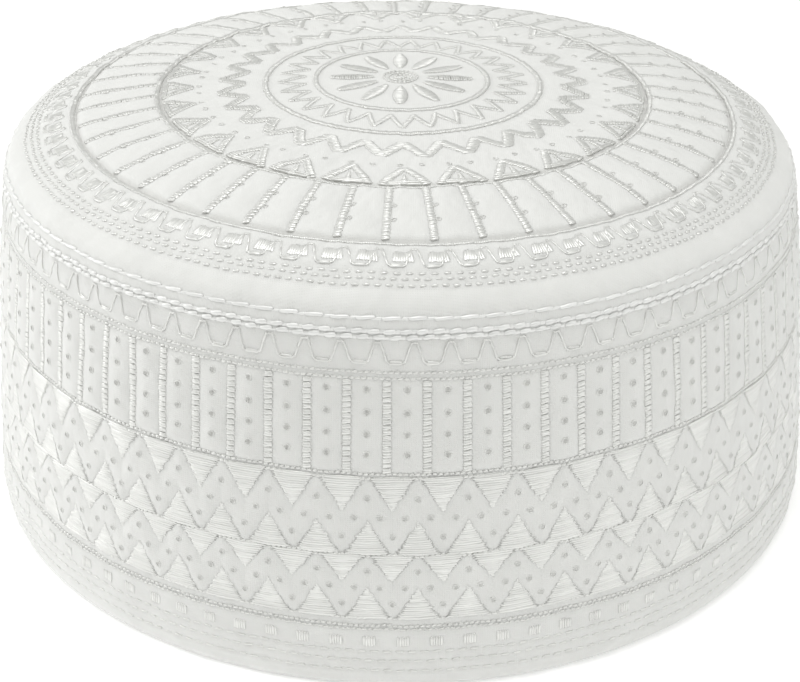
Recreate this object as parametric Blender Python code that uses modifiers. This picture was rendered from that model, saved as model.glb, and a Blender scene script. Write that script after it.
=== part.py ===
"""White embroidered prayer cap: a shallow domed crown on a tall, slightly tapered band.

Metres, +Z up. The origin is the centre of the hem's flat underside, which the cap rests on.
Angles around the cap start at the front (-Y) and grow towards +X.
"""
import bpy
from math import cos, pi, radians, sin, sqrt

MM = 0.001

# The cap's outer shape. A 565 mm inner girth at the hem fits a 57 cm head.
HEM_RADIUS = 92.7 * MM
SEAM_RADIUS = 85.1 * MM
SEAM_HEIGHT = 74.6 * MM
BELLY = 0.86 * MM           # how far the band's middle stands out from a straight cone
SHOULDER_IN = 45.0 * MM     # the crown's shoulder is a quarter ellipse, this far in from the seam
SHOULDER_UP = 14.25 * MM    # and this far up from it
CENTRE_RISE = 1.95 * MM     # the flat middle of the crown rises this much more

# Cloth and thread
CLOTH = 2.0 * MM            # embroidered cotton, two layers quilted together
HEM_CLOTH = 2.8 * MM        # the same, folded once
GAP = 0.3 * MM              # clearance between neighbouring solids
THREAD = 0.5 * MM           # how far raised satin stitch stands off the cloth
SEGMENTS = 64               # flat faces around a turned piece

# Heights on the band
HEM_TOP = 13.8 * MM
HEM_REST = 1.0 * MM         # width of the flat ring that touches the table
HEM_ROLL_HIGH = 3.0 * MM    # the hem's outer corner rolls in below this height
HEM_ROLL_LOW = 1.0 * MM
HEM_ROLL_IN = 0.6 * MM      # and is this far in at the lower one
BAND_ROWS = 4               # rows of faces up the band's outer side
BARS_LOW = 47.3 * MM
BARS_HIGH = 65.0 * MM
LINE_WIDTH = 1.6 * MM       # the stitched lines above and below the bars

# Radii where the crown's outer and inner sides turn, from the centre out
CROWN_OUTER_RADII = (0.0, 30 * MM, 52.2 * MM, 61.2 * MM, 70.2 * MM, 77.5 * MM, 82.6 * MM)
CROWN_INNER_RADII = (0.0, 45 * MM, 70.2 * MM, 80 * MM)

# name, height up the cap, width and how far it stands out
SEAM_CORDS = (
    ("rim_cord", 76.7 * MM, 1.3 * MM, 0.7 * MM),
    ("seam_cord_upper", 74.65 * MM, 1.0 * MM, 0.9 * MM),
    ("seam_cord_lower", 73.3 * MM, 1.0 * MM, 0.9 * MM),
)

# Satin bars of the band and of the crown
BAND_BARS, BAND_BAR_WIDTH, BAND_BAR_START = 75, 1.9 * MM, -1.6
CROWN_BARS, CROWN_BAR_WIDTH, CROWN_BAR_START = 49, 1.5 * MM, -2.2
RING_INNER, RING_OUTER = 52.2 * MM, 70.2 * MM   # radii of the crown's two raised rings
RING_WIDTH = 1.4 * MM
RING_THICK = 0.8 * MM
RING_GAP = 0.4 * MM         # wider than elsewhere, because the bars are straight over a curved crown

# Satin triangles: repeats around the cap and the angle of a hanging triangle's point
TEETH, TEETH_START = 60, -0.94
TEETH_STRIP = 0.7 * MM      # the narrow band that a single row of triangles shares
UPPER_BASE, UPPER_POINT = 45.4 * MM, 38.4 * MM
MIDDLE_BASE, MIDDLE_HIGH, MIDDLE_LOW = 29.8 * MM, 36.1 * MM, 23.9 * MM
LOWER_BASE, LOWER_POINT = 16.2 * MM, 22.0 * MM

WHITE_COTTON = (0.83, 0.83, 0.82, 1.0)
WHITE_SATIN = (0.90, 0.90, 0.89, 1.0)


def band_radius(z):
    """Outer radius of the band at height z."""
    t = z / SEAM_HEIGHT
    return HEM_RADIUS + (SEAM_RADIUS - HEM_RADIUS) * t + 4 * BELLY * t * (1 - t)


def crown_height(r):
    """Height of the crown's outer surface at radius r."""
    flat = SEAM_RADIUS - SHOULDER_IN
    if r <= flat:
        return SEAM_HEIGHT + SHOULDER_UP + CENTRE_RISE * (1 - (r / flat) ** 2)
    across = min(1.0, (r - flat) / SHOULDER_IN)
    return SEAM_HEIGHT + SHOULDER_UP * sqrt(1 - across ** 2)


def shoulder_radius(z):
    """Outer radius of the shoulder at height z, above the seam."""
    up = (z - SEAM_HEIGHT) / SHOULDER_UP
    return SEAM_RADIUS - SHOULDER_IN * (1 - sqrt(1 - up ** 2))


def cap_radius(z):
    """Outer radius of the cap's side at height z."""
    return band_radius(z) if z <= SEAM_HEIGHT else shoulder_radius(z)


def at(angle, r, z):
    """A point at an angle in degrees from the front, a radius and a height."""
    a = radians(angle)
    return (r * sin(a), -r * cos(a), z)


def material(name, colour, roughness):
    mat = bpy.data.materials.new(name)
    mat.use_nodes = True
    shader = mat.node_tree.nodes["Principled BSDF"]
    shader.inputs["Base Color"].default_value = colour
    shader.inputs["Roughness"].default_value = roughness
    shader.inputs["Metallic"].default_value = 0.0
    return mat


def mesh_object(name, points, faces, mat, edges=()):
    mesh = bpy.data.meshes.new(name)
    mesh.from_pydata(points, edges, faces)
    mesh.materials.append(mat)
    obj = bpy.data.objects.new(name, mesh)
    parts.objects.link(obj)
    return obj


def smooth(obj, angle):
    """Smooth shading, with the edges sharper than an angle kept."""
    mesh = obj.data
    mesh.shade_smooth()
    mesh.set_sharp_from_angle(angle=radians(angle))


def turned(name, profile, mat, closed=True):
    """Turn a profile of (radius, height) points about Z. A closed one joins its last point to its first."""
    count = len(profile)
    edges = [(i, (i + 1) % count) for i in range(count if closed else count - 1)]
    obj = mesh_object(name, [(r, 0, z) for r, z in profile], [], mat, edges)
    screw = obj.modifiers.new("Turn", "SCREW")
    screw.steps = screw.render_steps = SEGMENTS
    screw.use_merge_vertices = True
    screw.merge_threshold = 0.00001
    screw.use_smooth_shade = True
    return obj


def inset(profile, depth):
    """The (radius, height) points moved inwards across the wall by a depth."""
    moved = []
    for i, (r, z) in enumerate(profile):
        r0, z0 = profile[max(i - 1, 0)]
        r1, z1 = profile[min(i + 1, len(profile) - 1)]
        run = sqrt((r1 - r0) ** 2 + (z1 - z0) ** 2)
        moved.append((max(0.0, r - (z0 - z1) / run * depth), z - (r1 - r0) / run * depth))
    return moved


def add_crown(mat):
    """The domed disc and its shoulder. The outer side runs from the centre down to the seam."""
    seam = SEAM_HEIGHT + GAP
    outer = [(r, crown_height(r)) for r in CROWN_OUTER_RADII] + [(shoulder_radius(seam), seam)]
    inner = inset([(r, crown_height(r)) for r in CROWN_INNER_RADII], CLOTH)
    inner[0] = (0.0, crown_height(0.0) - CLOTH)
    inner.append((shoulder_radius(seam) - CLOTH, seam))
    return turned("crown", outer + inner[::-1], mat, closed=False)


def add_band(mat):
    """The wall from the hem up to the seam, open at both ends."""
    low, high = HEM_TOP + GAP, SEAM_HEIGHT
    step = (high - low) / BAND_ROWS
    outer = [(band_radius(high - i * step), high - i * step) for i in range(BAND_ROWS + 1)]
    inner = [(r - CLOTH, z) for r, z in (outer[-1], outer[BAND_ROWS // 2], outer[0])]
    return turned("band", outer + inner, mat)


def add_hem(mat):
    """The folded lower edge. Its outer corner is rolled, and a narrow flat ring is left to rest on."""
    inner = HEM_RADIUS - HEM_CLOTH
    profile = [
        (band_radius(HEM_TOP), HEM_TOP),
        (band_radius(HEM_ROLL_HIGH), HEM_ROLL_HIGH),
        (HEM_RADIUS - HEM_ROLL_IN, HEM_ROLL_LOW),
        (inner + HEM_REST, 0.0),
        (inner, 0.0),
        (band_radius(HEM_TOP) - HEM_CLOTH, HEM_TOP),
    ]
    return turned("hem", profile, mat)


def add_cord(name, height, width, stand_out, mat):
    """A line of rope-like stitching: a ridge that lies on the cap's side."""
    low, high = height - width / 2, height + width / 2
    ridge = (cap_radius(height) + GAP + stand_out, height)
    return turned(name, [(cap_radius(high) + GAP, high), ridge, (cap_radius(low) + GAP, low)], mat)


def thicken(obj, depth):
    """Give an open surface its thread's thickness, outwards."""
    solid = obj.modifiers.new("Thread", "SOLIDIFY")
    solid.thickness = depth
    solid.offset = 1.0
    solid.use_even_offset = True
    solid.use_rim = True


def pierced_ring(name, lines, bars, start, widths, depth, mat):
    """Two rings joined by bars, as one surface that is open between the bars.

    lines holds (radius, height) points of the cap's surface, outermost first: the first two bound one
    ring, the last two bound the other, and the bars follow every point between. widths has the bars'
    width in degrees at each line.
    """
    pitch = 360 / bars
    points, faces = [], []
    rows = len(lines)
    for bar in range(bars):
        centre = start + bar * pitch
        for side in (-0.5, 0.5):
            for (r, z), width in zip(lines, widths):
                points.append(at(centre + side * width, r, z))
    for bar in range(bars):
        left, right = 2 * bar * rows, (2 * bar + 1) * rows
        after = (2 * bar + 2) % (2 * bars) * rows
        for row in range(rows - 1):
            faces.append((left + row, left + row + 1, right + row + 1, right + row))
            if row in (0, rows - 2):
                faces.append((right + row, right + row + 1, after + row + 1, after + row))
    obj = mesh_object(name, points, faces, mat)
    thicken(obj, depth)
    smooth(obj, 35)
    return obj


def add_band_lattice(mat):
    """The ladder of satin bars round the band, with the stitched line above and below it."""
    heights = (BARS_HIGH + LINE_WIDTH, BARS_HIGH, BARS_LOW, BARS_LOW - LINE_WIDTH)
    lines = [(band_radius(z) + GAP, z) for z in heights]
    widths = [BAND_BAR_WIDTH / r * 180 / pi for r, z in lines]
    return pierced_ring("band_lattice", lines, BAND_BARS, BAND_BAR_START, widths, THREAD, mat)


def add_crown_lattice(mat):
    """The crown's two raised rings and the satin bars that run between them."""
    half, mid_ring = RING_WIDTH / 2, (RING_INNER + RING_OUTER) / 2
    radii = (RING_INNER - half, RING_INNER + half, mid_ring, RING_OUTER - half, RING_OUTER + half)
    lines = [(r, crown_height(r) + RING_GAP) for r in radii]
    widths = [CROWN_BAR_WIDTH / r * 180 / pi for r in radii]
    return pierced_ring("crown_lattice", lines, CROWN_BARS, CROWN_BAR_START, widths, RING_THICK, mat)


def add_single_teeth(name, base, point, start, mat):
    """A ring of triangles that share one narrow strip. They stand up if point is above base."""
    pitch = 360 / TEETH
    up = point > base
    edge = base + TEETH_STRIP * (1 if up else -1)
    points, faces = [], []
    for tooth in range(TEETH):
        angle = start + tooth * pitch
        points.append(at(angle - pitch / 2, band_radius(base) + GAP, base))
        points.append(at(angle - pitch / 2, band_radius(edge) + GAP, edge))
        points.append(at(angle, band_radius(point) + GAP, point))
    for tooth in range(TEETH):
        base0, edge0, tip = 3 * tooth, 3 * tooth + 1, 3 * tooth + 2
        base1, edge1 = (3 * tooth + 3) % (3 * TEETH), (3 * tooth + 4) % (3 * TEETH)
        strip, triangle = (base0, base1, edge1, edge0), (edge0, edge1, tip)
        faces += [strip, triangle] if up else [strip[::-1], triangle[::-1]]
    obj = mesh_object(name, points, faces, mat)
    thicken(obj, THREAD)
    return obj


def add_double_teeth(name, base, high, low, start, mat):
    """A ring of triangles standing up from a line, and others hanging from it half a pitch on."""
    pitch = 360 / TEETH
    points, faces = [], []
    for tooth in range(TEETH):
        angle = start + tooth * pitch
        points.append(at(angle, band_radius(base) + GAP, base))
        points.append(at(angle + pitch / 2, band_radius(base) + GAP, base))
        points.append(at(angle, band_radius(low) + GAP, low))
        points.append(at(angle + pitch / 2, band_radius(high) + GAP, high))
    for tooth in range(TEETH):
        here, half, hanging, standing = (4 * tooth + i for i in range(4))
        next_here = (4 * tooth + 4) % (4 * TEETH)
        half_before = (4 * tooth - 3) % (4 * TEETH)
        faces += [(here, half, standing), (half, next_here, standing)]
        faces += [(half_before, hanging, here), (here, hanging, half)]
    obj = mesh_object(name, points, faces, mat)
    thicken(obj, THREAD)
    return obj


for old in list(bpy.data.objects):
    bpy.data.objects.remove(old, do_unlink=True)

parts = bpy.data.collections.new("prayer_cap")
bpy.context.scene.collection.children.link(parts)

cotton, rope, satin = 0.85, 0.45, 0.4   # roughness of the cloth, the cords and the satin stitch

add_crown(material("crown_cotton", WHITE_COTTON, cotton))
add_band(material("band_cotton", WHITE_COTTON, cotton))
add_hem(material("hem_cotton", WHITE_COTTON, cotton))
for cord, height, width, stand_out in SEAM_CORDS:
    add_cord(cord, height, width, stand_out, material(cord + "_thread", WHITE_SATIN, rope))
add_crown_lattice(material("crown_lattice_thread", WHITE_SATIN, satin))
add_band_lattice(material("band_lattice_thread", WHITE_SATIN, satin))
add_single_teeth("teeth_upper", UPPER_BASE, UPPER_POINT, TEETH_START,
                 material("teeth_upper_thread", WHITE_SATIN, satin))
add_double_teeth("teeth_middle", MIDDLE_BASE, MIDDLE_HIGH, MIDDLE_LOW, TEETH_START,
                 material("teeth_middle_thread", WHITE_SATIN, satin))
add_single_teeth("teeth_lower", LOWER_BASE, LOWER_POINT, TEETH_START + 180 / TEETH,
                 material("teeth_lower_thread", WHITE_SATIN, satin))
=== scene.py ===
"""Looks of a white embroidered prayer cap: its cloth, satin stitch, cords and eyelets.

The cap is a turned shape, so everything on it is laid out on its unrolled surface: an angle in
degrees from the front towards +X, a length s in mm up the outside from the hem, and a height in mm
off that surface. wrap() turns such places into metres.
"""
import bpy
import numpy as np
from mathutils import Matrix, Vector


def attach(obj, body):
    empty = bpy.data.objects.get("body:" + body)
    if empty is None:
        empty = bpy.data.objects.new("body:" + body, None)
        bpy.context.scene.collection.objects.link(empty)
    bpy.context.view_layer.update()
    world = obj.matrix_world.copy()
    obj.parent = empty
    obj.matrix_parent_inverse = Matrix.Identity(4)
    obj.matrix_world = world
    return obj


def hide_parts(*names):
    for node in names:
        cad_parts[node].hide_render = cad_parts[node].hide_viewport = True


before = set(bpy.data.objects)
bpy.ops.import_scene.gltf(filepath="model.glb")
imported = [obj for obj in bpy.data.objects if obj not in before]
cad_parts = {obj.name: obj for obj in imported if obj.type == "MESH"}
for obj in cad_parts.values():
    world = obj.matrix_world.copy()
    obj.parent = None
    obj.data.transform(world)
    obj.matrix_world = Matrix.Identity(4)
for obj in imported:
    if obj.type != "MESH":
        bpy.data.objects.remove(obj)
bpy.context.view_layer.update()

MM = 0.001

# Shape of the cap, in mm
HEM_RADIUS, SEAM_RADIUS, SEAM_HEIGHT, BELLY = 92.7, 85.1, 74.6, 0.86
SHOULDER_IN, SHOULDER_UP, CENTRE_RISE = 45.0, 14.25, 1.95
REST_INNER, REST_OUTER, ROLL_HIGH = 89.9, 90.9, 3.0   # flat the cap rests on, top of its rolled corner
CLOTH, HEM_CLOTH = 2.0, 2.8
LEAN = -0.011                                         # the cap sits a little lower on its right
CROWN_OFF, CROWN_OFF_TO = 0.8, 55                     # the crown's stitching is off centre, to this angle


# ---------------------------------------------------------------- surface
def band_radius(z):
    t = z / SEAM_HEIGHT
    return HEM_RADIUS + (SEAM_RADIUS - HEM_RADIUS) * t + 4 * BELLY * t * (1 - t)


def make_profile():
    """Radius, height and length along the outside of the cap, from under the hem to the crown's centre."""
    roll = np.linspace(0, np.pi / 2, 12)
    r = [np.array([REST_INNER]), REST_OUTER + (band_radius(ROLL_HIGH) - REST_OUTER) * np.sin(roll)]
    z = [np.array([0.0]), ROLL_HIGH * (1 - np.cos(roll))]
    side = np.linspace(ROLL_HIGH, SEAM_HEIGHT, 60)[1:]
    r.append(band_radius(side))
    z.append(side)
    turn = np.linspace(0, np.pi / 2, 80)[1:]
    r.append(SEAM_RADIUS - SHOULDER_IN * (1 - np.cos(turn)))
    z.append(SEAM_HEIGHT + SHOULDER_UP * np.sin(turn))
    flat = SEAM_RADIUS - SHOULDER_IN
    top = np.linspace(flat, 0, 40)[1:]
    r.append(top)
    z.append(SEAM_HEIGHT + SHOULDER_UP + CENTRE_RISE * (1 - (top / flat) ** 2))
    r, z = np.concatenate(r), np.concatenate(z)
    s = np.concatenate([[0.0], np.cumsum(np.hypot(np.diff(r), np.diff(z)))])
    return r, z, s - s[len(roll)] + ROLL_HIGH


PROFILE_R, PROFILE_Z, PROFILE_S = make_profile()
SLOPE_R, SLOPE_Z = np.gradient(PROFILE_R, PROFILE_S), np.gradient(PROFILE_Z, PROFILE_S)
STEEP = np.hypot(SLOPE_R, SLOPE_Z)
NORMAL_R, NORMAL_Z = SLOPE_Z / STEEP, -SLOPE_R / STEEP
S_LOW, S_TOP = PROFILE_S[0], PROFILE_S[-1]
SEAM_ROW = int(np.argmax(PROFILE_Z >= SEAM_HEIGHT - 1e-6))


def at_height(z):
    """Length s of a height on the band."""
    return np.interp(z, PROFILE_Z[:SEAM_ROW + 1], PROFILE_S[:SEAM_ROW + 1])


def at_radius(r):
    """Length s of a radius on the crown."""
    return np.interp(-np.asarray(r, float), -PROFILE_R[SEAM_ROW:], PROFILE_S[SEAM_ROW:])


def radius(s):
    return np.interp(s, PROFILE_S, PROFILE_R)


def ease(x):
    """A smooth step from 0 to 1."""
    x = np.clip(x, 0, 1)
    return x * x * (3 - 2 * x)


def wrap(angle, s, height):
    """Points in metres of places on the unrolled cloth."""
    a = np.radians(angle)
    s = s - CROWN_OFF * np.cos(a - np.radians(CROWN_OFF_TO)) * ease((s - 82) / 10) * ease((S_TOP - s) / 40)
    r = np.interp(s, PROFILE_S, PROFILE_R) + height * np.interp(s, PROFILE_S, NORMAL_R)
    z = np.interp(s, PROFILE_S, PROFILE_Z) + height * np.interp(s, PROFILE_S, NORMAL_Z)
    x, y = r * np.sin(a), -r * np.cos(a)
    return np.stack([x, y, z * (1 + LEAN * x / 88)], -1) * MM


def degrees(mm, s):
    """Angle that a width in mm covers at s."""
    return np.degrees(mm / np.maximum(radius(s), 1))


# ---------------------------------------------------------------- layout: mm, degrees
BARS, BAR_START, BAR_WIDTH = 75, -1.6, 1.9
BARS_LOW, BARS_HIGH = 47.6, 64.8
TEETH, TEETH_START = 60, -0.94
CROWN_BARS, CROWN_BAR_START, CROWN_BAR_WIDTH = 49, -2.2, 1.75
STARS, STAR_START = 29, 0.9
SCALLOPS, SCALLOP_START, SCALLOP_LOW, SCALLOP_HIGH = 82, -0.54, 68.4, 72.3
DOTS, DOT_START, DOT_LOW, DOT_HIGH = 73, 0.4, 88.8, 91.7
SQUARES, SQUARE_START, SQUARE_AT = 90, 0.3, 11.1
RING_INNER, RING_OUTER = float(at_radius(52.2)), float(at_radius(70.2))
LINES_HIGH, LINE_LOW, LINE_HEM = (65.7, 66.9), 46.5, 14.3
CREASES = (78.4, 81.0)
CROWN_DASHES = ((83.4, 249), (84.9, 244), (86.2, 216))   # s, how many round the cap
HEM_DASHES = (4.4, 6.7, 8.8)
RING_SEAM = 0.25                       # the seam on the inner side of a ring, a groove with painted shade in its colour, lies this far from it
CROWN_STARTS = 74.75                   # where the crown's cloth meets the band's, under a seam cord
ROPE_TURNS, RIM_TURNS = 183, 115
# Triangles of satin stitch: (height of the long side, height of the point, angle of the point)
TEETH_ROWS = {"teeth_upper": [(45.7, 39.2, TEETH_START)],
              "teeth_middle": [(30.0, 36.6, TEETH_START + 3), (29.6, 24.4, TEETH_START)],
              "teeth_lower": [(16.2, 22.6, TEETH_START + 3)]}
# The zigzag ribbons of plain cloth between them: (valley, peak)
RIBBONS = ((33.8, 41.7), (19.4, 26.5))
# Radii on the crown
STAR_POINT, STAR_ROW = 45.2, 43.8
ZIG_OUT, ZIG_IN = 39.6, 34.0
SMALL_ZIG_OUT, SMALL_ZIG_IN = 26.5, 21.0
CENTRE_RINGS = (29.5, 18.5)
PETALS, PETAL_IN, PETAL_OUT = 12, 5.5, 16.0
MEAN_RADIUS, FLAT_RADIUS = 88, 86      # of the whole cap, and for the unrolled (u, v)


def repeat(start, count):
    """Angles of count things spaced evenly round the cap."""
    return start + np.arange(count) * 360 / count


# Eyelets: (hole radius, depth)
BAR_HOLE, RIBBON_HOLE, CROWN_HOLE, STAR_HOLE = (0.50, 0.30), (0.46, 0.18), (0.42, 0.30), (0.42, 0.26)
DEEPEST = BAR_HOLE[1]
# Every family of them: (first angle, how many round the cap, s, hole radius, depth)
EYELETS = [(BAR_START + 180 / BARS, BARS, at_height(z), *BAR_HOLE) for z in (63.5, 59.0, 54.8, 50.8)]
for valley, peak in RIBBONS:
    EYELETS += [(TEETH_START, TEETH, at_height(valley), *RIBBON_HOLE),
                (TEETH_START + 1.5, 2 * TEETH, at_height((valley + peak) / 2), *RIBBON_HOLE),
                (TEETH_START + 3, TEETH, at_height(peak), *RIBBON_HOLE)]
EYELETS += [(CROWN_BAR_START + 1.1, CROWN_BARS, s, *CROWN_HOLE) for s in (100.6, 105.3)]
EYELETS += [(STAR_START + off, STARS, at_radius(r), *STAR_HOLE)
            for off, r in ((-2.9, 49.4), (2.9, 49.4), (-0.95, STAR_ROW), (4.5, STAR_ROW))]

# Relief of the cloth. Wrinkles: (height, seed, size); puffs: (from s, to s, soft edge, height);
# grooves: (s, depth, width)
WRINKLES = ((0.16, 3, 24.0), (0.10, 4, 7.0), (0.055, 5, 3.1))
PUFFS = ((67.6, 72.4, 1.6, 0.22), (2.5, 13.6, 1.5, 0.28), (77.6, 82.6, 1.6, 0.30), (86.6, 93.4, 1.2, 0.2),
         (RING_INNER + 1.0, at_radius(30), 2.0, 0.25))
GROOVES = [(s, 0.14, 0.6) for s in HEM_DASHES]
GROOVES += [(s, 0.10, 0.8) for s in (*LINES_HIGH, LINE_LOW, LINE_HEM)]
GROOVES += [(s, 0.11, 0.4) for s in CREASES]
GROOVES += [(s + 0.7, 0.11, 0.4) for s, _ in CROWN_DASHES] + [(CROWN_DASHES[0][0] - 0.7, 0.11, 0.4)]
GROOVES += [(ring + RING_SEAM, 0.60, 0.5) for ring in (RING_OUTER, RING_INNER)]
RIBBON_HALF, RIBBON_HEIGHT = 4.6, 0.30


# ---------------------------------------------------------------- relief of the cloth
def off_line(angle, start, count, s):
    """Distance in mm, along the circle, to the nearest of count lines round the cap."""
    step = 360 / count
    return np.radians((angle - start + step / 2) % step - step / 2) * radius(s)


def near(distance, width):
    """1 at no distance, fading to 0 within about twice the width."""
    return np.exp(-(distance / width) ** 2)


def between(s, low, high, soft=0.8):
    """1 between low and high, 0 outside, with soft edges."""
    return ease((s - low) / soft) * ease((high - s) / soft)


def wander(angle, s, seed, size=24.0):
    """Slow, repeating unevenness between about -1 and 1; size is its length in mm."""
    phase = np.random.default_rng(seed).uniform(0, 2 * np.pi, 12)
    a, turns = np.radians(angle), round(2 * np.pi * MEAN_RADIUS / size)
    total = 0
    # Four crossing waves, with their lengths round the cap and up it as shares of one per size
    for k, (across, up) in enumerate(((0.45, 0.5), (0.8, 0.9), (1.25, 0.35), (1.9, 1.3))):
        bend = 1.3 * np.sin(s / size * (1.1 + k) + phase[k + 4])
        total = total + np.sin(int(turns * across) * a + phase[k] + bend) * \
            np.cos(s / size * 6.28 * up + phase[k + 8])
    return total / 2 * np.minimum(1, radius(s) / 40) ** 2


def holes(angle, s):
    """(depth in mm of the eyelets, painted shade of the eyelets and of the seams inside the crown's rings).
    """
    depth = np.zeros_like(s)
    # Painted shade: the seams inside the crown's rings are darkened in colour, as shade in their groove.
    painted_shade = 0.8 * sum(near(s - ring - RING_SEAM, 0.4) for ring in (RING_OUTER, RING_INNER))
    for start, count, row, size, deep in EYELETS:
        close = np.abs(s - row) < 3 * size
        if not close.any():
            continue
        d = np.hypot(off_line(angle[close], start, count, s[close]) * 1.25, s[close] - row) / size
        depth[close] += deep * np.exp(-d ** 3.0)
        # Painted shade: each eyelet is darkened in colour, as the shade inside a hole; the cloth has only a
        # shallow dimple there.
        painted_shade[close] = np.maximum(painted_shade[close], np.exp(-(d / 0.85) ** 4) * deep / DEEPEST)
    return depth, painted_shade


def relief(angle, s):
    """Height in mm of the cloth's puffs, stitched grooves and eyelets above the smooth shape."""
    angle, s = np.broadcast_arrays(np.asarray(angle, float), np.asarray(s, float))
    h = sum(high * wander(angle, s, seed, size) for high, seed, size in WRINKLES)
    for low, high, soft, height in PUFFS:
        h = h + height * between(s, low, high, soft)
    for row, depth, width in GROOVES:
        h = h - depth * near(s - row, width)
    # Panels between the band's bars, and between the crown's
    d = off_line(angle, BAR_START, BARS, s)
    h = h + between(s, BARS_LOW - 0.8, BARS_HIGH + 0.5, 1.2) * (0.52 * (1 - near(d, 1.9)) - 0.10)
    d = off_line(angle, CROWN_BAR_START, CROWN_BARS, s)
    h = h + between(s, RING_OUTER + 0.6, RING_INNER - 0.6, 1.5) * (0.45 * (1 - near(d, 1.6)) - 0.08)
    # Zigzag ribbons, which stand up between the satin triangles
    across = np.abs(off_line(angle, TEETH_START, TEETH, s)) / np.maximum(radius(s), 1)
    across = across / np.radians(180 / TEETH)
    for valley, peak in RIBBONS:
        q = (s - (valley + (peak - valley) * across)) / RIBBON_HALF
        h = h + RIBBON_HEIGHT * np.clip(1 - q * q, 0, 1) ** 1.3
    return (h - holes(angle, s)[0]) * between(s, S_LOW + 2.2, S_TOP + 9, 1.5)


# ---------------------------------------------------------------- materials
def principled(name, colour, roughness, **sockets):
    """A material, its nodes, its links and its shader; sockets are named with _ for a space."""
    mat = bpy.data.materials.new(name)
    mat.use_nodes = True
    shader = mat.node_tree.nodes["Principled BSDF"]
    shader.inputs["Base Color"].default_value = (*colour, 1)
    shader.inputs["Roughness"].default_value = roughness
    for key, value in sockets.items():
        shader.inputs[key.replace("_", " ")].default_value = value
    return mat, mat.node_tree.nodes, mat.node_tree.links, shader


# The grey is painted shade, put on the eyelets and on the seams inside the crown's rings.
COTTON_WHITE, PAINTED_SHADE_GREY = (0.80, 0.80, 0.785), (0.69, 0.685, 0.665)
THREAD_WHITE, ROPE_WHITE = (0.835, 0.835, 0.815), (0.89, 0.89, 0.88)


def cotton():
    """Plain weave: two crossed waves of thread on the unrolled cloth, with slubs, and painted shade
    darkening the eyelets and the seams inside the crown's rings.
    """
    mat, nodes, links, shader = principled("cotton", COTTON_WHITE, 0.85, Sheen_Weight=0.2,
                                           Sheen_Roughness=0.5, Subsurface_Weight=0.5,
                                           Subsurface_Scale=1.3 * MM, Subsurface_Radius=(1, 1, 1))
    uv = nodes.new("ShaderNodeUVMap")
    uv.uv_map = "unrolled"
    threads = []
    for axis in "XY":
        wave = nodes.new("ShaderNodeTexWave")
        wave.wave_type, wave.bands_direction = "BANDS", axis
        wave.inputs["Scale"].default_value = 0.75
        wave.inputs["Distortion"].default_value = 0.7
        wave.inputs["Detail"].default_value = 1.0
        links.new(uv.outputs["UV"], wave.inputs["Vector"])
        threads.append(wave)
    weave = nodes.new("ShaderNodeMath")
    weave.operation = "MULTIPLY"
    for k in (0, 1):
        links.new(threads[k].outputs["Fac"], weave.inputs[k])
    slub = nodes.new("ShaderNodeTexNoise")
    slub.inputs["Scale"].default_value = 0.9
    slub.inputs["Detail"].default_value = 4.0
    links.new(uv.outputs["UV"], slub.inputs["Vector"])
    total = nodes.new("ShaderNodeMath")
    total.operation = "MULTIPLY_ADD"
    total.inputs[1].default_value = 0.7
    links.new(weave.outputs[0], total.inputs[0])
    links.new(slub.outputs["Fac"], total.inputs[2])
    bump = nodes.new("ShaderNodeBump")
    bump.inputs["Strength"].default_value = 0.4
    bump.inputs["Distance"].default_value = 0.12 * MM
    links.new(total.outputs[0], bump.inputs["Height"])
    links.new(bump.outputs["Normal"], shader.inputs["Normal"])
    # Painted shade: the eyelets and the ring seams are tinted towards the darker grey.
    hole = nodes.new("ShaderNodeAttribute")
    hole.attribute_name = "hole"
    tint = nodes.new("ShaderNodeValToRGB")
    tint.color_ramp.elements[0].color = (*COTTON_WHITE, 1)
    tint.color_ramp.elements[1].color = (*PAINTED_SHADE_GREY, 1)
    links.new(hole.outputs["Fac"], tint.inputs["Fac"])
    soft = nodes.new("ShaderNodeTexNoise")
    soft.inputs["Scale"].default_value = 0.12
    soft.inputs["Detail"].default_value = 3.0
    links.new(uv.outputs["UV"], soft.inputs["Vector"])
    shade = nodes.new("ShaderNodeMapRange")
    shade.inputs["To Min"].default_value = 0.95
    shade.inputs["To Max"].default_value = 1.05
    links.new(soft.outputs["Fac"], shade.inputs["Value"])
    mix = nodes.new("ShaderNodeVectorMath")
    mix.operation = "SCALE"
    links.new(tint.outputs["Color"], mix.inputs[0])
    links.new(shade.outputs["Result"], mix.inputs["Scale"])
    links.new(mix.outputs["Vector"], shader.inputs["Base Color"])
    return mat


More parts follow.
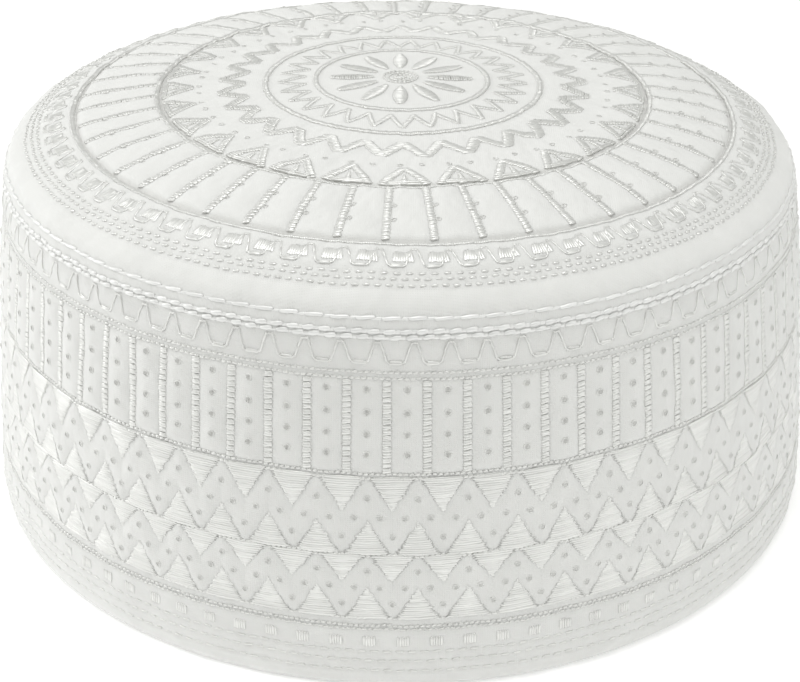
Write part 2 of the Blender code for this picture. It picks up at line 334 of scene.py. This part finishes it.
def satin_thread(name, roughness, gloss, colour):
    """Glossy filament thread: fine fibres along each stitch, and a little difference between stitches."""
    mat, nodes, links, shader = principled(name, colour, roughness, Metallic=gloss, Sheen_Weight=0.1)
    uv = nodes.new("ShaderNodeUVMap")
    uv.uv_map = "unrolled"
    stretch = nodes.new("ShaderNodeMapping")
    stretch.inputs["Scale"].default_value = (0.5, 6.0, 1.0)
    links.new(uv.outputs["UV"], stretch.inputs["Vector"])
    fibre = nodes.new("ShaderNodeTexNoise")
    fibre.inputs["Scale"].default_value = 1.0
    fibre.inputs["Detail"].default_value = 3.0
    links.new(stretch.outputs["Vector"], fibre.inputs["Vector"])
    bump = nodes.new("ShaderNodeBump")
    bump.inputs["Strength"].default_value = 0.35
    bump.inputs["Distance"].default_value = 0.06 * MM
    links.new(fibre.outputs["Fac"], bump.inputs["Height"])
    links.new(bump.outputs["Normal"], shader.inputs["Normal"])
    lot = nodes.new("ShaderNodeAttribute")
    lot.attribute_name = "stitch"
    tint = nodes.new("ShaderNodeValToRGB")
    tint.color_ramp.elements[0].color = (*(c * 0.94 for c in colour), 1)
    tint.color_ramp.elements[1].color = (*(c * 1.03 for c in colour), 1)
    links.new(lot.outputs["Fac"], tint.inputs["Fac"])
    links.new(tint.outputs["Color"], shader.inputs["Base Color"])
    return mat


COTTON = cotton()
SATIN = satin_thread("satin_thread", 0.35, 0.40, THREAD_WHITE)
ROPE = satin_thread("rope_thread", 0.40, 0.22, ROPE_WHITE)


# ---------------------------------------------------------------- meshes
def add_mesh(name, points, faces, material, bake, pattern, attribute, sharp=None):
    """A mesh from arrays. faces is a list of arrays of quads or triangles; bake and pattern are
    functions from one such array to its corners' (u, v); attribute is (name, one number per point).
    """
    mesh = bpy.data.meshes.new(name)
    mesh.vertices.add(len(points))
    mesh.vertices.foreach_set("co", np.asarray(points, np.float32).ravel())
    corners = np.concatenate([f.ravel() for f in faces])
    sizes = np.concatenate([np.full(len(f), f.shape[1]) for f in faces])
    mesh.loops.add(len(corners))
    mesh.loops.foreach_set("vertex_index", corners.astype(np.int32))
    mesh.polygons.add(len(sizes))
    mesh.polygons.foreach_set("loop_start", (np.cumsum(sizes) - sizes).astype(np.int32))
    mesh.update(calc_edges=True)
    for key, place in (("OFBake", bake), ("unrolled", pattern)):
        uv = np.concatenate([np.stack(place(f), -1).reshape(-1, 2) for f in faces])
        mesh.uv_layers.new(name=key).uv.foreach_set("vector", uv.astype(np.float32).ravel())
    key, numbers = attribute
    mesh.attributes.new(key, "FLOAT", "POINT").data.foreach_set("value", numbers.astype(np.float32))
    mesh.materials.append(material)
    mesh.shade_smooth()
    if sharp:
        mesh.set_sharp_from_angle(angle=np.radians(sharp))
    obj = bpy.data.objects.new(name, mesh)
    bpy.context.scene.collection.objects.link(obj)
    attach(obj, "root")
    return obj


def unwound(angles):
    """Corner angles of each face without the jump from 360 back to 0."""
    first = angles[:, :1]
    return angles + 360 * (angles - first < -180) - 360 * (angles - first > 180)


def join_rings(low, high):
    """Faces between two rings of points, where one may have half as many points, or be a single one."""
    n, m = len(low), len(high)
    low_next, high_next = np.roll(low, -1), np.roll(high, -1)
    if n == m:
        return [np.stack([low, low_next, high_next, high], -1)]
    if m == 1:
        return [np.stack([low, low_next, np.full(n, high[0])], -1)]
    if n == 1:
        return [np.stack([np.full(m, low[0]), high_next, high], -1)]
    if n == 2 * m:
        a, b, c = low[::2], low[1::2], np.roll(low[::2], -1)
        return [np.stack(t, -1) for t in ((a, b, high), (b, c, high_next), (b, high_next, high))]
    a, b, c = high[::2], high[1::2], np.roll(high[::2], -1)
    return [np.stack(t, -1) for t in ((low, b, a), (low, low_next, b), (low_next, c, b))]


def cloth_piece(name, node, angles, outer, inner, wall, planar=False):
    """A closed wall of cloth with relief on its outside.

    outer and inner are its rows, as (s, how often the columns are halved), outer from low to high and
    inner back down; s None is the crown's centre.
    """
    rings, points, angle, s_of, v_of, painted_shade = [], [], [], [], [], []
    rows = [(row, True) for row in outer] + [(row, False) for row in inner]
    for k, ((s, halvings), outside) in enumerate(rows):
        a = np.zeros(1) if s is None else angles[::2 ** halvings]
        s = np.full(len(a), S_TOP if s is None else s)
        rings.append(len(angle) + np.arange(len(a)))
        points.append(wrap(a, s, relief(a, s) if outside else -wall + 0 * s))
        angle = np.concatenate([angle, a])
        s_of = np.concatenate([s_of, s])
        v_of = np.concatenate([v_of, np.full(len(a), k / len(rows))])
        # Painted shade of the eyelets and ring seams, kept as one number per point.
        painted_shade.append(holes(a, s)[1] if outside else 0 * s)
    faces = []
    for k, ring in enumerate(rings):
        after = rings[(k + 1) % len(rings)]
        if len(ring) > 1 or len(after) > 1:
            faces += join_rings(ring, after)

    def bake(f):
        v = v_of[f]
        v = v + (v - v[:, :1] < -0.5)
        return (unwound(angle[f]) - angles[0]) / 360, v

    def pattern(f):
        a = unwound(angle[f])
        if planar:
            return radius(s_of[f]) * np.sin(np.radians(a)), radius(s_of[f]) * np.cos(np.radians(a))
        return np.radians(a) * FLAT_RADIUS, s_of[f]

    obj = add_mesh(name, np.concatenate(points), faces, COTTON, bake, pattern,
                   ("hole", np.concatenate(painted_shade)), sharp=75)
    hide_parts(node)
    low, high = outer[0][0], outer[-1][0]
    if high is None:
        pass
    else:
        2 * np.pi * float(radius((low + high) / 2)) * MM
    return obj


class Threads:
    """Gathers stitches, then makes them one mesh of closed, rounded lengths of thread."""
    OFFSETS = {4: ((0.5, 0.0), (0.27, 0.88), (-0.27, 0.88), (-0.5, 0.0)),
               5: ((0.5, 0.0), (0.38, 0.65), (0.0, 1.0), (-0.38, 0.65), (-0.5, 0.0))}
    # Cross sections along a stitch: (place from 0 to 1, size)
    LONG, SHORT = ((0.14, 0.78), (0.5, 1.0), (0.86, 0.78)), ((0.17, 0.92), (0.83, 0.92))
    SUNK = 0.06                            # how far the feet of the stitches lie in the cloth

    def __init__(self, seed):
        self.rows, self.rng = [], np.random.default_rng(seed)

    def add(self, a0, s0, a1, s1, width, height, lift=0.0):
        """Stitches from (a0, s0) to (a1, s1); width, height and lift in mm."""
        parts = np.broadcast_arrays(*(np.asarray(p, float) for p in (a0, s0, a1, s1, width, height, lift)))
        self.rows.append(np.stack([p.ravel() for p in parts], -1))

    def across(self, angle, s, width, thread, height, slant=0.0, lift=0.0):
        """Stitches that lie along the circle, centred on (angle, s)."""
        half = degrees(np.asarray(width) / 2, s)
        self.add(angle - half, s - slant, angle + half, s + slant, thread, height, lift)

    def along(self, angles, lengths, thread, height, reach):
        """A run of stitches along a line given by its points, each reach times as long as its step."""
        a, s = np.asarray(angles, float), np.asarray(lengths, float)
        da, ds = (a[1:] - a[:-1]) * (reach - 1) / 2, (s[1:] - s[:-1]) * (reach - 1) / 2
        self.add(a[:-1] - da, s[:-1] - ds, a[1:] + da, s[1:] + ds, thread, height)

    def build(self, name, node=None, material=None, sides=4, jitter=0.05, steps=SHORT):
        """One mesh of all the stitches, each a little uneven; it ends in one low point on each side."""
        a0, s0, a1, s1, width, height, lift = np.concatenate(self.rows).T
        n, random = len(a0), self.rng
        s0, s1 = s0 + random.normal(0, jitter, n), s1 + random.normal(0, jitter, n)
        width = width * random.uniform(0.92, 1.08, n)
        height = height * random.uniform(0.88, 1.1, n)
        mid = (s0 + s1) / 2
        scale = np.radians(1) * np.maximum(radius(mid), 1)
        dx, dy = (a1 - a0) * scale, s1 - s0
        length = np.hypot(dx, dy)
        side_a, side_s = -dy / length / scale, dx / length
        shape = self.OFFSETS[sides]
        A, S, H, U, V = ([] for _ in range(5))
        for t, size in ((0, 0), *steps, (1, 0)):
            ca, cs = a0 + (a1 - a0) * t, s0 + (s1 - s0) * t
            base = relief(ca, cs) + lift - self.SUNK
            for offset, up in (shape if size else ((0.0, 0.4),)):
                A.append(ca + side_a * width * offset * size)
                S.append(cs + side_s * width * offset * size)
                H.append(base + height * up * (size or 0.3))
                U.append(length * t)
                V.append(width * offset)
        count = len(A)
        A, S, H, U, V = (np.stack(x, -1).ravel() for x in (A, S, H, U, V))
        V = V + np.repeat(random.uniform(0, 40, n), count)
        first = np.arange(n)[:, None] * count
        quads, tris, last = [], [], count - 1 - sides
        for k in range(sides):
            j = (k + 1) % sides
            tris += [first + np.array([0, 1 + j, 1 + k]),
                     first + np.array([count - 1, last + k, last + j])]
            for row in range(1, last, sides):
                quads.append(first + np.array([row + k, row + j, row + sides + j, row + sides + k]))
        lot = np.repeat(random.uniform(0, 1, n), count)
        home = np.repeat((a0 + a1) / 2 % 360 - (a0 + a1) / 2, count)
        turn = np.clip((A + home) / 360, 0, 1)
        obj = add_mesh(name, wrap(A, S, H), [np.concatenate(quads), np.concatenate(tris)],
                       material or SATIN, lambda f: (turn[f], (S[f] - S_LOW) / (S_TOP - S_LOW)),
                       lambda f: (U[f], V[f]), ("stitch", lot))
        if node:
            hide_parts(node)
        return obj


# ---------------------------------------------------------------- cloth
def spread(period, marks, fill):
    """Column offsets in one period in mm: close together round the marks, fill in all."""
    close = [m + d for m in marks for d in (-0.85, -0.42, 0, 0.42, 0.85)]
    rest = np.linspace(0, period, 400, endpoint=False)
    rest = rest[[min(abs(x - c) for c in close) > 0.5 for x in rest]]
    picks = rest[np.linspace(0, len(rest) - 1, fill - len(close)).round().astype(int)]
    return np.sort(np.concatenate([close, picks]))


def columns(start, count, period, offsets):
    """Angles of all columns: the offsets in mm of one period, repeated count times."""
    angle = (start + np.arange(count)[:, None] * 360 / count + offsets[None] / period * 360 / count).ravel()
    return np.sort(angle % 360)


def rows(low, high, gap, closer=()):
    """Heights of rows from low to high, gap apart, and close together round eyelets."""
    fine = [s + d for s in closer for d in (-0.8, -0.4, 0, 0.4, 0.8) if low < s + d < high]
    plain = [s for s in np.linspace(low, high, int((high - low) / gap) + 1)
             if s in (low, high) or all(abs(s - f) > 0.6 * gap for f in fine)]
    return sorted(set(fine) | set(plain))


def inside(low, high, gap=7.0):
    """Rows of the plain inner side, from high back to low, with fewer columns in the middle."""
    steps = np.linspace(high, low, int((high - low) / gap) + 4)
    return [(float(s), min(k, len(steps) - 1 - k, 2)) for k, s in enumerate(steps)]


def eyelet_rows(low, high):
    """Every s between low and high that has eyelets."""
    return sorted({float(e[2]) for e in EYELETS if low < e[2] < high})


def make_cloth():
    seam, middle = CROWN_STARTS, LINE_LOW + 0.35        # both edges lie under a line of thread
    period = np.radians(360 / BARS) * MEAN_RADIUS
    upper = columns(BAR_START, BARS, period, spread(period, [period / 2], 16))
    cloth_piece("band_cloth_upper", "band", upper,
                [(s, 0) for s in rows(middle, seam, 0.7, eyelet_rows(middle, seam))],
                inside(middle, seam), CLOTH)
    period = np.radians(1.5) * 91
    lower = columns(TEETH_START, 4 * TEETH, period,
                    np.array([0, 0.4, 0.85, period - 0.85, period - 0.4]))
    cloth_piece("band_cloth_lower", "band", lower,
                [(s, 0) for s in rows(LINE_HEM, middle, 0.9, eyelet_rows(LINE_HEM, middle))],
                inside(LINE_HEM, middle), CLOTH)
    cloth_piece("hem_cloth", "hem", np.arange(600) * 0.6,
                [(s, 0) for s in rows(S_LOW, LINE_HEM, 0.42)],
                inside(0.6, LINE_HEM, 5.0), HEM_CLOTH)
    low = [(s, 0) for s in rows(seam, at_radius(51.0), 0.66,
                                    (RING_OUTER + RING_SEAM, RING_INNER + RING_SEAM))]
    ring = [(s, 1) for s in rows(at_radius(50.5), at_radius(29.5), 0.62)]
    centre = [(s, 2) for s in rows(at_radius(28.8), at_radius(10), 0.8)]
    centre += [(s, 3) for s in rows(at_radius(9.2), at_radius(1.2), 0.9)] + [(None, 0)]
    back = [(None, 0)] + [(at_radius(r), 3) for r in (4, 15, 30, 45, 60, 70)]
    back += [(at_radius(77), 3), (at_radius(81), 2), (at_radius(84), 1), (seam, 0)]
    cloth_piece("crown_cloth", "crown", np.arange(880) * 360 / 880, low + ring + centre, back, CLOTH,
                planar=True)


# ---------------------------------------------------------------- thread
def rope(name, node, s, count, width, high, seed):
    """A twisted cord: turns that climb to the right, with lower ones showing between them."""
    t = Threads(seed)
    angle, pitch = repeat(0.7 * seed, count), 2 * np.pi * float(radius(s)) / count
    t.across(angle, s + 0.03, 0.84 * pitch, width, high, 0.17, lift=0.06)
    t.across(angle + 180 / count, s - 0.05, 0.8 * pitch, 0.8 * width, 0.5 * high, 0.1)
    t.build(name, node, ROPE, sides=5, jitter=0.04, steps=t.LONG)


def beads(t, s, pitch, size, thread, height, slant=0.1, start=0.0):
    """A line of small stitches round the cap, each size long."""
    count = round(2 * np.pi * float(radius(s)) / pitch)
    t.across(repeat(start, count), s, size, thread, height, slant)


BAR_THREAD = 0.88, 0.31                # width and height of the thread


def make_bars(start, count, lengths, width):
    """Bars of crossed satin stitch up the cap, one lump for each step."""
    t = Threads(len(lengths))
    angle, s = np.meshgrid(repeat(start, count), lengths)
    t.across(angle, s - 0.2, width, *BAR_THREAD, 0.16)
    t.across(angle, s + 0.2, 0.94 * width, *BAR_THREAD, 0.02)
    return t


def scallops(t, count, start, low, high, thread, height):
    """A row of flat-bottomed U shapes, the flat a fuller, brighter stitch."""
    each, flat_share = 12, 0.46                              # stitches in one scallop, flat part of it
    steps = np.arange(count * each + 1)
    side = np.abs((steps / each + 0.5) % 1 - 0.5) * 2        # 0 at each bottom, 1 between two
    climb = ease((side - 0.40) / 0.48)
    t.along(start + steps * 360 / each / count, low + (high - low) * climb, thread, height, 1.6)
    flat = flat_share * 2 * np.pi * float(radius(low)) / count
    t.across(repeat(start, count), low, flat, thread * 1.35, height * 1.3, 0.03)
    t.across(repeat(start, count), low + 0.35, flat * 0.9, thread, height, -0.03)


def satin_triangles(t, low, point, angle, count, pitch=0.45):
    """Triangles of flat satin stitch, threads nearly level, with slightly ragged ends."""
    lengths = np.arange(min(low, point), max(low, point), pitch) + pitch / 2
    share = (lengths - point) / (low - point)
    for s, part in zip(at_height(lengths), share):
        width = 0.5 + part * (np.radians(360 / count) * radius(s) - 0.7)
        ragged = t.rng.normal(0, 0.16, count)
        middle = repeat(angle, count) + degrees(t.rng.normal(0, 0.10, count), s)
        t.across(middle, s, np.maximum(width + ragged, 0.3), pitch * 2.1, 0.20 + 0.16 * part, 0.10)


def make_band_thread():
    rope("seam_rope_upper", "seam_cord_upper", 74.75, ROPE_TURNS, 1.05, 0.44, 1)
    rope("seam_rope_lower", "seam_cord_lower", 73.68, ROPE_TURNS, 1.05, 0.40, 2)
    rope("rim_rope", "rim_cord", 77.2, RIM_TURNS, 0.8, 0.30, 3)

    t = make_bars(BAR_START, BARS, np.linspace(BARS_LOW, BARS_HIGH, 17), BAR_WIDTH)
    for k, s in enumerate(LINES_HIGH):
        beads(t, s, 1.1, 1.05, 0.62, 0.28, start=0.35 * k)
    beads(t, LINE_LOW + 0.35, 1.05, 1.0, 0.66, 0.36)
    beads(t, LINE_LOW - 0.5, 1.05, 1.0, 0.5, 0.24, start=0.3)
    t.build("band_bars", "band_lattice")

    t = Threads(11)
    scallops(t, SCALLOPS, SCALLOP_START, at_height(SCALLOP_LOW), at_height(SCALLOP_HIGH), 0.48, 0.27)
    t.build("band_scallops")

    for node, triangles in TEETH_ROWS.items():
        t = Threads(len(node))
        for low, point, angle in triangles:
            satin_triangles(t, low, point, angle, TEETH)
            beads(t, at_height(low), 1.0, 1.0, 0.55, 0.28)
        t.build(node + "_satin", node, jitter=0.03, steps=t.LONG)

    t = Threads(21)
    for offset in (-0.96, -0.48, 0, 0.48, 0.96):
        a = repeat(SQUARE_START, SQUARES)
        da = degrees(offset, SQUARE_AT)
        t.add(a + da, SQUARE_AT - 1.2, a + da, SQUARE_AT + 1.2, 0.66, 0.28)
    for k, s in enumerate(HEM_DASHES):
        beads(t, s, 2.4, 1.8, 0.52, 0.26, 0.04, start=0.7 * k)
    beads(t, LINE_HEM + 0.2, 1.05, 1.0, 0.62, 0.34)
    beads(t, LINE_HEM - 0.6, 1.05, 1.0, 0.5, 0.24, start=0.3)
    t.build("hem_stitching")


def zigzag(t, out, into, count, start, width, pitch=0.5):
    """A W-shaped line of satin stitch round the crown, between two radii; into points at start."""
    s_out, s_in = float(at_radius(out)), float(at_radius(into))
    lengths = np.arange(s_out, s_in, pitch)
    reach = 180 / count
    for s in lengths:
        off = reach * (s_in - s) / (s_in - s_out)
        for side in (-1, 1):
            t.across(repeat(start + side * off, count), s, width, pitch * 1.5, 0.32, 0.1 * side)


def ring_cord(t, s, width, height, pitch=0.42):
    """Fine piping: thread wound closely over a core."""
    count = round(2 * np.pi * float(radius(s)) / pitch)
    a = repeat(0, count)
    t.add(a, s - width / 2, a + 0.3, s + width / 2, pitch * 2.0, height, 0.05)


def make_crown_thread():
    t = make_bars(CROWN_BAR_START, CROWN_BARS, np.linspace(RING_OUTER + 1.2, RING_INNER - 1.2, 16),
                  CROWN_BAR_WIDTH)
    for ring in (RING_OUTER, RING_INNER):
        ring_cord(t, ring - 0.55, 1.0, 0.30)
    t.build("crown_rings", "crown_lattice")

    t = Threads(31)
    dots = repeat(DOT_START, DOTS)
    for offset in np.linspace(-1, 1, 8):
        foot, head = degrees(1.75 * offset, DOT_LOW), degrees(1.3 * offset, DOT_HIGH)
        t.add(dots + foot, DOT_LOW - 0.2, dots + head, DOT_HIGH, 0.9, 0.17)
    scallops(t, DOTS, DOT_START - 0.9, 87.75, 92.0, 0.5, 0.25)
    for k, (s, count) in enumerate(CROWN_DASHES):
        t.across(repeat(0.6 * k, count), s, 1.4, 0.7, 0.32, 0.05)
    t.build("crown_dots")

    t = Threads(41)
    ring, point = RING_INNER + 0.9, float(at_radius(STAR_POINT))
    star = repeat(STAR_START, STARS)
    for s in np.arange(ring, point, 0.5):
        share = (point - s) / (point - ring)
        off = degrees(4.1 * share, s)
        for side in (-1, 1):
            t.across(star + side * off, s, 2.1, 0.78, 0.34, 0.1 * side)
        if share > 0.5:
            t.across(star, s, 0.5 + 3.0 * (share - 0.5), 0.7, 0.4, 0.05)
    for s in (ring, ring + 0.45):
        t.across(star, s, 8.6, 0.7, 0.4, 0.02)
    zigzag(t, ZIG_OUT, ZIG_IN, STARS, STAR_START, 3.0)
    t.build("crown_stars")

    t = Threads(51)
    ring_cord(t, float(at_radius(CENTRE_RINGS[0])), 1.3, 0.42)
    zigzag(t, SMALL_ZIG_OUT, SMALL_ZIG_IN, STARS, STAR_START + 180 / STARS, 1.3)
    ring_cord(t, float(at_radius(CENTRE_RINGS[1])), 1.2, 0.42)
    petals = repeat(0, PETALS)
    for r in np.arange(PETAL_IN + 0.5, PETAL_OUT - 0.5, 0.5):
        width = 0.5 + 3.0 * np.sin(np.pi * (r - PETAL_IN) / (PETAL_OUT - PETAL_IN)) ** 0.8
        t.across(petals, float(at_radius(r)), width, 0.68, 0.45, 0.05)
    for r in (1.2, 2.4, 3.6):
        beads(t, float(at_radius(r)), 1.0, 1.1, 0.6, 0.45)
    t.build("crown_centre")


def make_eyelet_rims():
    """The whipped edge round each eyelet, as a thin ring of thread."""
    round_it, sides = 9, 3
    each = round_it * sides
    turn, tube = (np.arange(n) * 2 * np.pi / n for n in (round_it, sides))
    for name, low, high in (("band_eyelets", 0, CROWN_STARTS), ("crown_eyelets", CROWN_STARTS, S_TOP)):
        A, S, H = [], [], []
        for start, count, s, size, _ in EYELETS:
            if not low < s < high:
                continue
            thick = 0.18 * size
            away = size * 1.22 + thick * np.cos(tube)[None, :]
            x, y = away * np.cos(turn)[:, None], away * np.sin(turn)[:, None]
            up = thick * np.sin(tube)[None, :] + 0 * x
            s_all = (s + y).ravel()
            base = repeat(start, count)[:, None] % 360
            a_all = base + degrees(x.ravel(), s)[None, :]
            A.append(a_all.ravel())
            S.append(np.tile(s_all, count))
            H.append((relief(a_all, s_all[None, :]) + up.ravel()[None, :] + 0.04).ravel())
        A, S, H = (np.concatenate(x) for x in (A, S, H))
        n = len(A) // each
        i, j = (x.ravel() for x in np.meshgrid(np.arange(round_it), np.arange(sides), indexing="ij"))
        around, along = (i + 1) % round_it, (j + 1) % sides
        one = np.stack([around * sides + j, around * sides + along, i * sides + along, i * sides + j], -1)
        faces = (np.arange(n)[:, None, None] * each + one[None]).reshape(-1, 4)
        obj = add_mesh(name, wrap(A, S, H), [faces], SATIN,
                       lambda f: (np.clip(A[f] / 360, 0, 1), (S[f] - S_LOW) / (S_TOP - S_LOW)),
                       lambda f: (np.radians(A[f]) * FLAT_RADIUS, S[f]),
                       ("stitch", np.repeat(np.arange(n) * 0.618 % 1, each)))


# ---------------------------------------------------------------- floor, light, camera
def make_floor():
    bpy.ops.mesh.primitive_plane_add(size=12)
    floor = bpy.context.object
    floor.name = "floor"
    floor.data.materials.append(principled("floor", (0.92, 0.92, 0.92), 0.9, Specular_IOR_Level=0.1,
                                           Emission_Color=(1, 1, 1, 1), Emission_Strength=0.25)[0])


# Name, diameter in m, power in W, position in m
LIGHTS = (("overhead", 1.2, 12.0, (-0.1, -0.16, 1.5)),
          ("left", 0.7, 3.9, (-1.05, 0.15, 0.45)),
          ("right", 0.8, 1.9, (1.0, -0.5, 0.6)))
LIT_POINT = (0, 0, 0.05)


def area_light(name, size, power, position):
    """A round light that faces the cap."""
    light = bpy.data.lights.new(name, "AREA")
    light.shape, light.size, light.energy = "DISK", size, power
    obj = bpy.data.objects.new(name, light)
    obj.location = position
    obj.rotation_euler = (Vector(LIT_POINT) - Vector(position)).to_track_quat("-Z", "Y").to_euler()
    bpy.context.scene.collection.objects.link(obj)


def make_light():
    world = bpy.data.worlds.new("studio")
    world.use_nodes = True
    world.node_tree.nodes["Background"].inputs["Color"].default_value = (0.985, 1.0, 0.955, 1)
    world.node_tree.nodes["Background"].inputs["Strength"].default_value = 0.405
    scene = bpy.context.scene
    scene.world = world
    scene.view_settings.view_transform = "Standard"
    for light in LIGHTS:
        area_light(*light)


CAMERA_PITCH, CAMERA_LENS = 28.571, 78.7                    # degrees down, mm
CAMERA_BACK, CAMERA_RIGHT, CAMERA_UP = 0.4197, -0.00007, 0.02296   # m from the origin, in its own axes


def make_camera():
    pitch = np.radians(CAMERA_PITCH)
    right = np.array([1, 0, 0])
    back = np.array([0, -np.cos(pitch), np.sin(pitch)])
    up = np.array([0, np.sin(pitch), np.cos(pitch)])
    data = bpy.data.cameras.new("camera")
    data.lens, data.sensor_width, data.sensor_fit = CAMERA_LENS, 36, "HORIZONTAL"
    data.clip_start = 0.01
    camera = bpy.data.objects.new("camera", data)
    place = np.eye(4)
    place[:3, 0], place[:3, 1], place[:3, 2] = right, up, back
    place[:3, 3] = back * CAMERA_BACK + right * CAMERA_RIGHT + up * CAMERA_UP
    camera.matrix_world = Matrix(place.tolist())
    bpy.context.scene.collection.objects.link(camera)
    bpy.context.scene.camera = camera


make_cloth()
make_band_thread()
make_crown_thread()
make_eyelet_rims()
make_floor()
make_light()
make_camera()
